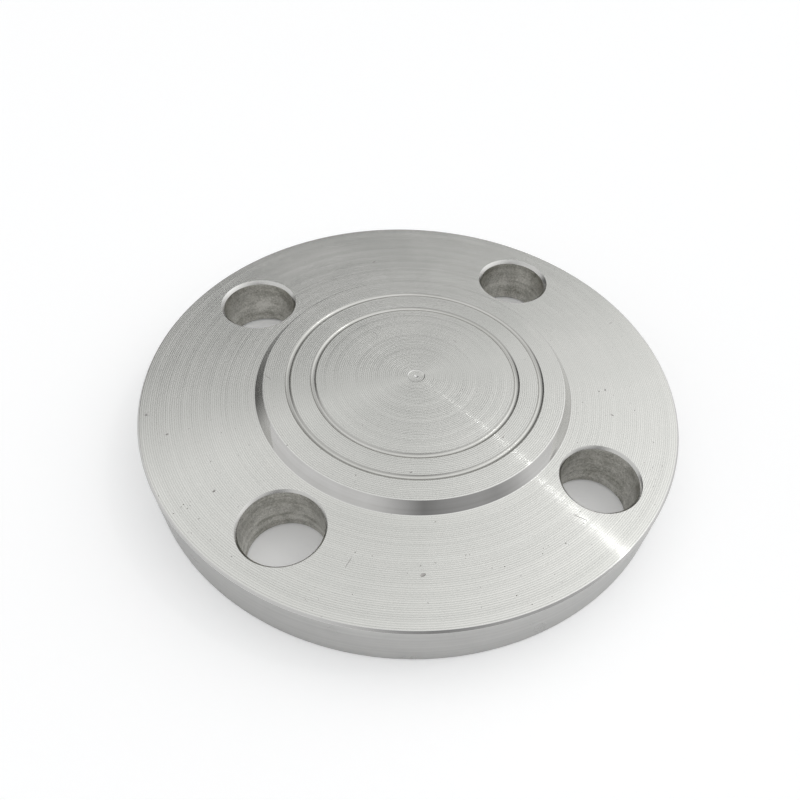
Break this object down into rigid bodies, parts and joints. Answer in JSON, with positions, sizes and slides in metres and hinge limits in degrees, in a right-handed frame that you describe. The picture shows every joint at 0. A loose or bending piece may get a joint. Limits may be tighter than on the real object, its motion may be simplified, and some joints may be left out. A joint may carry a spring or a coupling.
{
  "type": "blind flange",
  "caption": "Solid round raised-face flange with grooved gasket face and chamfered bolt holes, used to close off the end of a pipe or a nozzle.",
  "frame": {"origin": "centre of the flat back face", "axes": "+Z along the disc's axis, from the back face towards the raised gasket face; the bolt holes lie at 45 degrees to X and Y"},
  "size_m": [0.115, 0.115, 0.0143],
  "materials": {
    "flange_steel": "fine turned finish, concentric tool marks about 0.42 mm apart on both faces, satin sheen"
  },
  "bodies": {
    "root": {"blind_flange_disc": "flange_steel"}
  },
  "joints": []
}
